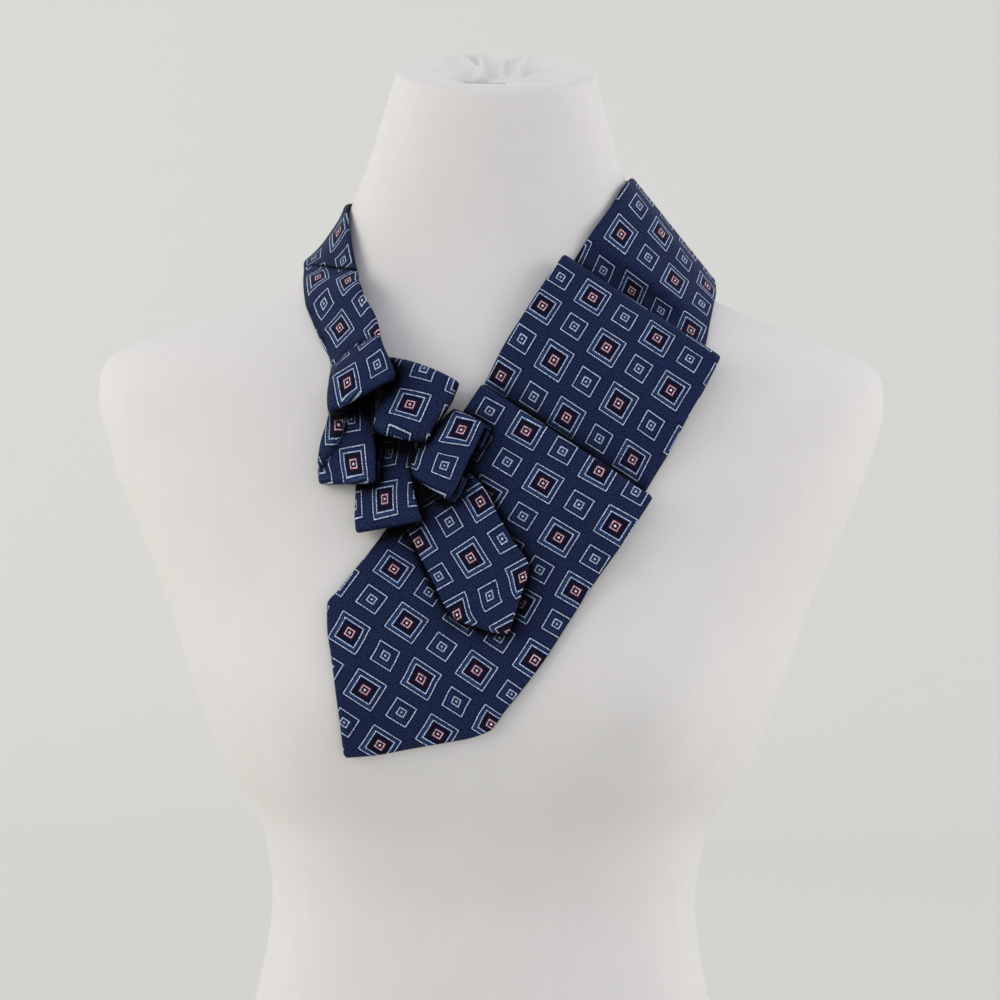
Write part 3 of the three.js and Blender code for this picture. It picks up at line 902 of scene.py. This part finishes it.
neckLeftRows = joinRows(
    collarRows([
        (-98.2, -10.6, 537.9, -68.1, -46.1, 532.7),
        (-98, -25, 530.2, -66.4, -57, 527.6),
        (-95.6, -40, 518.6, -65.2, -62, 523.9),
    ]),
    frontRows([
        (-91.1, 508.7, -64.2, 520.8, 2.4, 14),
        (-85.1, 496.5, -57, 508.1, 3, 16),
        (-79.5, 484.7, -53.4, 495, 7, 17),
        (-79.6, 477.2, -50.2, 488.3, 11.8, 17.8),
        (-80.1, 469.1, -47.5, 482, 13.6, 18.2),
        (-79.5, 460.6, -46.9, 478.6, 14, 18.4),
    ]),
)
# its rows leave the straight line over the hollow one by one and end along the form
neckLeftRows["follow"] = np.array([0, 0, 0, 0, 0.15, 0.5, 0.85, 1, 1])
addStretch("neck_left", neckLeftRows, {
    "patternPull": ((1.2, -0.1), (0.25, 0.88)),
    "patternShift": (29.5, 16.4),
    "bottomFold": endFold,
    "leftCurl": {"width": 8, "drop": 3.4},
    "tucks": [{
        "line": [(-90, 472), (-76.6, 483.6), (-69.8, 490.7),
                 (-62, 495.6), (-54, 499.4), (-40, 504)],
        "width": 1.3,
        "trough": 1.6,
        "rise": 0.8,
        "hides": (7.4, 6.7),
    }],
    "flat": (0.034, 0.105),
    "held": "folded",
    "restsOn": ["form_cover"],
})

loopOuterRows = frontRows([
    (-76.3, 471, -53.6, 474.8, 3.2, 6),
    (-79, 463, -54.8, 465, 3.6, 6.8),
    (-80.7, 455.5, -55.5, 455.2, 4.4, 8.8),
    (-83.3, 444.7, -55.4, 444, 5.6, 11.6),
    (-84, 436.3, -55.2, 435.2, 6.2, 13.6),
    (-83.2, 426.5, -55.2, 427, 6.2, 14.3),
])
addStretch("loop_outer", loopOuterRows, {
    "patternPull": ((1.149, -0.2), (0.143, 0.8)),
    "patternShift": (-9.2, 3.7),
    "bottomFold": loopFold,
    "creases": [(-70.5, 457, -78.5, 439, 2.2, 3.5)],
    "tucks": [{
        "line": [(-90, 418), (-82, 433.5), (-77.4, 440.7),
                 (-72.7, 450), (-70.5, 458.4), (-69, 470)],
        "width": 1.2,
        "trough": 1.2,
        "rise": -2,
        "hides": (13.2, 2),
    }],
    "returnSpread": 2,
    "flat": (0.027, 0.057),
    "held": "folded",
    "restsOn": ["form_cover"],
})

loopLowerRows = frontRows([
    (-57, 451.5, -38.5, 452.6, 2.8, 4),
    (-60.5, 442.5, -37, 445.2, 3.2, 5.2),
    (-64.2, 432.6, -36, 436, 4.6, 8),
    (-65.1, 422.8, -36, 424.7, 6.2, 11),
    (-65.1, 412.1, -34.4, 415.5, 7.6, 13.8),
    (-64.3, 403, -32.3, 409.2, 7.7, 14),
])
addStretch("loop_lower", loopLowerRows, {
    "patternPull": ((1.26, 0.02), (0.096, 0.8)),
    "patternShift": (19.4, 29.9),
    "bottomFold": loopFold,
    "flat": (0.025, 0.057),
    "held": "folded",
    "restsOn": ["form_cover", "tail_silk"],
})

loopTopRows = frontRows([
    (-54.5, 488, -15.6, 475, 8, 14.5),
    (-55.5, 481.6, -17, 471.3, 8.3, 14.6),
    (-56.3, 473.6, -19.9, 464.2, 9.4, 14.8),
    (-56.7, 465.2, -24, 457.8, 10.8, 14.8),
    (-56.7, 457.8, -28, 451.8, 11.4, 14.6),
    (-56.2, 451.8, -30, 446.2, 11.6, 14.4),
])
addStretch("loop_top", loopTopRows, {
    "patternPull": ((0.94, 0.1), (-0.106, 0.99)),
    "patternShift": (35.9, 3.2),
    "topFold": loopFold,
    "bottomFold": rollFold,
    "bow": 2.6,
    "leftCurl": {"width": 8, "drop": 6},
    "rightCurl": {"width": 10, "drop": 4.2},
    "flat": (0.037, 0.066),
    "held": "folded",
    "restsOn": ["loop_lower_silk"],
})

loopInnerRows = frontRows([
    (-18.4, 462.8, -2.5, 454.6, 14.3, 15.8),
    (-25.4, 456.2, -5.6, 447.3, 14, 15.8),
    (-32.8, 449, -9.2, 440, 13.8, 15.6),
    (-36.8, 442, -12.6, 432.3, 13.4, 15.4),
    (-38.6, 436.8, -16, 424, 13.4, 15.2),
    (-38.6, 431.6, -19, 419.4, 13.6, 15.2),
])
addStretch("loop_inner", loopInnerRows, {
    "patternPull": ((0.96, -0.03), (0.129, 0.98)),
    "patternFrom": 1,
    "patternShift": (11.8, 19.8),
    "topFold": loopFold,
    "bottomFold": endFold,
    "leftCurl": {"width": 7.5, "drop": 9},
    "returnSpread": 3.4,
    "flat": (0.026, 0.062),
    "held": "folded",
    "restsOn": ["tail_silk"],
})

tailRows = frontRows([
    (-45, 427, -9, 431.5, 5.6, 8.6),
    (-42.5, 408.5, -5, 428, 5.9, 8.9),
    (-39, 402.4, -1.3, 423.2, 5.9, 9),
    (-33, 391, 5, 411.2, 5.8, 9.2),
    (-27.3, 380.5, 12, 399.8, 5.8, 9.8),
    (-20.4, 367.4, 19.8, 386.2, 5.8, 10.4),
    (-14.6, 360.8, 17.5, 377.5, 5.8, 10.2),
    (-6.3, 358, 15.2, 370.4, 6, 9.8),
    (2.4, 355.3, 12.4, 361.2, 6.8, 9),
    (9.2, 354.5, 10.8, 355.8, 8, 8.4),
])
addStretch("tail", tailRows, {
    "patternPull": ((1.13, -0.05), (0.083, 0.968)),
    "patternShift": (22.8, 17.4),
    "flat": (0.044, 0.084),
    "area": 0.0031,
    "held": "folded",
    "restsOn": ["front_blade_silk"],
})
print("tie made")

# Painted shade: crevices between folds are darkened in the base colour by how much other cloth covers
# each point
paintedShadeLook = {
    "reach": 22,            # how far off other cloth still shades a point
    "rays": 32,
    "rayStart": 0.4,        # above the surface
    "silk": (4.2, 0.03),    # strength, and the darkest that it gets
    "jersey": (2.2, 0.1),
}


def hemisphere(count):
    # even directions round +Z, more of them near it
    n = np.arange(count) + 0.5
    z = np.sqrt(1 - n / count)
    turn = n * math.pi * (3 - math.sqrt(5))
    side = np.sqrt(1 - z * z)
    return np.stack([side * np.cos(turn), side * np.sin(turn), z], -1)


def shadeCrevices():
    # painted shade: points where folds meet are darkened by how much other cloth covers them, baked
    # into the shade attribute
    pieces = [formCover, *stretches.values()]
    points, faces = [], []
    for piece in pieces:
        start = len(points)
        points += [tuple(v.co) for v in piece.data.vertices]
        faces += [tuple(start + i for i in f.vertices) for f in piece.data.polygons]
    tree = BVHTree.FromPolygons(points, faces)
    rays = hemisphere(paintedShadeLook["rays"])
    reach = paintedShadeLook["reach"] * mm
    for piece in pieces:
        strength, darkest = paintedShadeLook["jersey" if piece is formCover else "silk"]
        values = []
        for vertex in piece.data.vertices:
            if piece is formCover and vertex.co.z < form["neckTiltStart"] * mm:
                values.append(1)    # the light alone shades the body
                continue
            normal = vertex.normal
            turned = rays @ np.array(normal.to_track_quat("Z", "Y").to_matrix().transposed())
            start = vertex.co + normal * (paintedShadeLook["rayStart"] * mm)
            covered = 0
            for ray in turned.tolist():
                distance = tree.ray_cast(start, ray, reach)[3]
                if distance is not None:
                    covered += 1 - distance / reach
            covered /= paintedShadeLook["rays"]
            values.append(max(darkest, 1 - strength * covered))
        attribute = piece.data.attributes.new("shade", "FLOAT", "POINT")
        attribute.data.foreach_set("value", values)


shadeCrevices()
print("crevices shaded")


# Hand stitches, set along a path by Geometry Nodes
threadLook = {"twistScale": 700.0, "bump": 0.4, "bumpDepth": 0.1, "roughness": 0.6, "specular": 0.3}


def threadMaterial(name, light, deep):
    look = threadLook
    s = Shader(name)
    place = s.value(s.node("TexCoord"), 3)    # Object coordinates
    waves = s.node("TexWave", None, {"Vector": place, "Scale": look["twistScale"], "Distortion": 2.0})
    twist = s.value(waves, 1)
    thread = s.node("BsdfPrincipled", None, {
        "Base Color": s.mix(twist, deep, light),
        "Roughness": look["roughness"],
        "Specular IOR Level": look["specular"],
        "Normal": s.bump(look["bump"], look["bumpDepth"], twist),
    })
    return s.finish(thread)


slipStitch = {"spacing": 3.1, "length": 2.1, "thread": 0.16, "slant": 8, "seed": 4}
pullStitch = {"spacing": 2.7, "length": 4.6, "thread": 0.3, "slant": 68, "seed": 9, "sunk": 2.6}


def stitchTree(name, material):
    tree = bpy.data.node_groups.new(name, "GeometryNodeTree")
    tree.interface.new_socket("Geometry", in_out="INPUT", socket_type="NodeSocketGeometry")
    for label in ("Spacing", "Length", "Thread", "Slant"):
        tree.interface.new_socket(label, in_out="INPUT", socket_type="NodeSocketFloat")
    tree.interface.new_socket("Seed", in_out="INPUT", socket_type="NodeSocketInt")
    tree.interface.new_socket("Geometry", in_out="OUTPUT", socket_type="NodeSocketGeometry")

    def add(kind, settings=None, values=None, links=None):
        node = tree.nodes.new(kind)
        for key, value in (settings or {}).items():
            setattr(node, key, value)
        for key, value in (values or {}).items():
            node.inputs[key].default_value = value
        for key, socket in (links or {}).items():
            tree.links.new(socket, node.inputs[key])
        return node

    given = add("NodeGroupInput").outputs
    path = add("GeometryNodeMeshToCurve", None, None, {0: given["Geometry"]})
    even = add("GeometryNodeResampleCurve", {"mode": "LENGTH"}, None,
               {"Curve": path.outputs[0], "Length": given["Spacing"]})
    straight = add("GeometryNodeCurvePrimitiveLine", {"mode": "DIRECTION"}, {"Direction": (1, 0, 0)},
                   {"Length": given["Length"]})
    middle = add("ShaderNodeMath", {"operation": "MULTIPLY"}, {1: -0.5}, {0: given["Length"]})
    back = add("ShaderNodeCombineXYZ", None, None, {0: middle.outputs[0]})
    centred = add("GeometryNodeTransform", None, None,
                  {"Geometry": straight.outputs[0], "Translation": back.outputs[0]})
    turned = add("ShaderNodeCombineXYZ", None, None, {2: given["Slant"]})
    slanted = add("GeometryNodeTransform", None, None,
                  {"Geometry": centred.outputs[0], "Rotation": turned.outputs[0]})
    circle = add("GeometryNodeCurvePrimitiveCircle", None, {"Resolution": 8},
                 {"Radius": given["Thread"]})
    stitch = add("GeometryNodeCurveToMesh", None, {"Fill Caps": True},
                 {"Curve": slanted.outputs[0], "Profile Curve": circle.outputs[0]})
    tangent = add("GeometryNodeInputTangent")
    aligned = add("FunctionNodeAlignRotationToVector", {"axis": "X"}, None,
                  {"Vector": tangent.outputs[0]})
    uneven = add("FunctionNodeRandomValue", {"data_type": "FLOAT"}, {"Min": 0.8, "Max": 1.15},
                 {"Seed": given["Seed"]})
    placed = add("GeometryNodeInstanceOnPoints", None, None, {
        "Points": even.outputs[0], "Instance": stitch.outputs[0], "Rotation": aligned.outputs[0]})
    tree.links.new(uneven.outputs[1], placed.inputs["Scale"])
    real = add("GeometryNodeRealizeInstances", None, None, {0: placed.outputs[0]})
    dressed = add("GeometryNodeSetMaterial", None, {"Material": material},
                  {"Geometry": real.outputs[0]})
    add("NodeGroupOutput", None, None, {0: dressed.outputs[0]})
    return tree


def stitchRun(name, path, settings, material):
    mesh = bpy.data.meshes.new(name + "_path")
    edges = [(i, i + 1) for i in range(len(path) - 1)]
    mesh.from_pydata((np.asarray(path) * mm).tolist(), edges, [])
    holder = addObject(name + "_path", mesh)
    tree = stitchTree(name + "Tree", material)
    modifier = holder.modifiers.new("stitches", "NODES")
    modifier.node_group = tree
    sizes = {"Spacing": settings["spacing"] * mm, "Length": settings["length"] * mm,
             "Thread": settings["thread"] * mm, "Slant": math.radians(settings["slant"]),
             "Seed": settings["seed"]}
    for item in tree.interface.items_tree:
        if item.in_out == "INPUT" and item.name in sizes:
            modifier[item.identifier] = sizes[item.name]
    bpy.context.view_layer.update()
    evaluated = holder.evaluated_get(bpy.context.evaluated_depsgraph_get())
    made = bpy.data.meshes.new_from_object(evaluated)
    made.shade_smooth()
    bpy.data.objects.remove(holder)
    piece = addObject(name, made)
    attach(piece, "root")
    print(f"{name}: {len(made.polygons)} faces")


navyThread = threadMaterial("navyThread", colour(44, 58, 96), colour(16, 22, 46))
whiteThread = threadMaterial("whiteThread", colour(238, 234, 226), colour(196, 190, 180))

seamPath = outerPoints["neck_left"][0][2:-2]    # its top edge, short of the two corners
stitchRun("seam_stitches", seamPath, slipStitch, navyThread)


def onNeckTop(x, y):
    # points on the slanted top of the neck, without its gather
    height = form["neckTopHeight"]
    lean = 1 - form["neckTopRounding"] / (height - form["neckTiltStart"])
    return np.stack([x, y, height + lean * form["neckTopSlope"] * (y - form["neckTopAxis"])], -1)


slitX = np.linspace(-12, 24, 25)
fromX, fromY, toX, toY = neckSlit
slitY = fromY + (toY - fromY) * (slitX - fromX) / (toX - fromX)
slitPath = onNeckTop(slitX, slitY) - (0, 0, pullStitch["sunk"])
stitchRun("gather_stitches", slitPath, pullStitch, whiteThread)
print("stitches made")


# Floor, backdrop, light and camera
studio = {
    "camera": (5.33, -1415, 419),
    "focal": 97.49,
    "rollDegrees": 0.832,
    "paperWidth": 9000,
    "paperFront": -4500,
    "bendStart": 1800,     # where the floor starts to turn up into the wall
    "bendRadius": 1600,
    "wallHeight": 4500,
    "paper": colour(222, 221, 215),
    "air": (0.96, 0.99, 1.1, 1),
    "airLight": 0.56,
    "farthest": 50000,
}


def backdropPiece():
    s = Shader("backdropPaper")
    uneven = s.node("TexNoise", None, {"Scale": 0.7, "Detail": 2.0})
    darker = tuple(c * 0.97 for c in studio["paper"][:3]) + (1,)
    paper = s.node("BsdfPrincipled", None, {
        "Base Color": s.mix(s.value(uneven), studio["paper"], darker),
        "Roughness": 0.95,
        "Specular IOR Level": 0.1,
    })
    material = s.finish(paper)
    start, radius = studio["bendStart"], studio["bendRadius"]
    profile = [(studio["paperFront"], 0)]
    for turn in np.linspace(0, math.pi / 2, 33):
        profile.append((start + radius * math.sin(turn), radius * (1 - math.cos(turn))))
    profile.append((start + radius, studio["wallHeight"]))
    half = studio["paperWidth"] / 2
    points = [(x, y, z) for y, z in profile for x in (-half, half)]
    faces = [(2 * i, 2 * i + 1, 2 * i + 3, 2 * i + 2) for i in range(len(profile) - 1)]
    piece = meshPiece("backdrop", points, faces, material)


backdropPiece()

lights = [
    # name, place, aim, size, watts, colour
    ("keyLeft", (-1700, -750, 1050), (0, 0, 450), 1100, 14.5, (1.0, 0.96, 0.82)),
    ("fillRight", (1700, -500, 900), (0, 0, 450), 1100, 11.5, (1.0, 0.97, 0.88)),
    ("wallLeft", (-1700, 1300, 2200), (-300, 3400, 900), 1600, 21, (1.0, 0.97, 0.88)),
    ("wallRight", (1700, 1300, 2200), (300, 3400, 900), 1600, 15, (0.97, 0.98, 1.0)),
]
for name, place, aim, size, power, tint in lights:
    data = bpy.data.lights.new(name, "AREA")
    data.size = size * mm
    data.energy = power
    data.color = tint
    lamp = addObject(name, data)
    lamp.location = np.array(place) * mm
    lamp.rotation_euler = (Vector(aim) - Vector(place)).to_track_quat("-Z", "Y").to_euler()

world = bpy.data.worlds.new("studioAir")
world.use_nodes = True
background = world.node_tree.nodes["Background"]
background.inputs["Color"].default_value = studio["air"]
background.inputs["Strength"].default_value = studio["airLight"]
bpy.context.scene.world = world
bpy.context.scene.view_settings.view_transform = "Standard"

cameraData = bpy.data.cameras.new("camera")
cameraData.lens = studio["focal"]
cameraData.clip_end = studio["farthest"] * mm
camera = addObject("camera", cameraData)
camera.location = np.array(studio["camera"]) * mm
camera.rotation_euler = (math.pi / 2, -math.radians(studio["rollDegrees"]), 0)
bpy.context.scene.camera = camera
print("studio made")
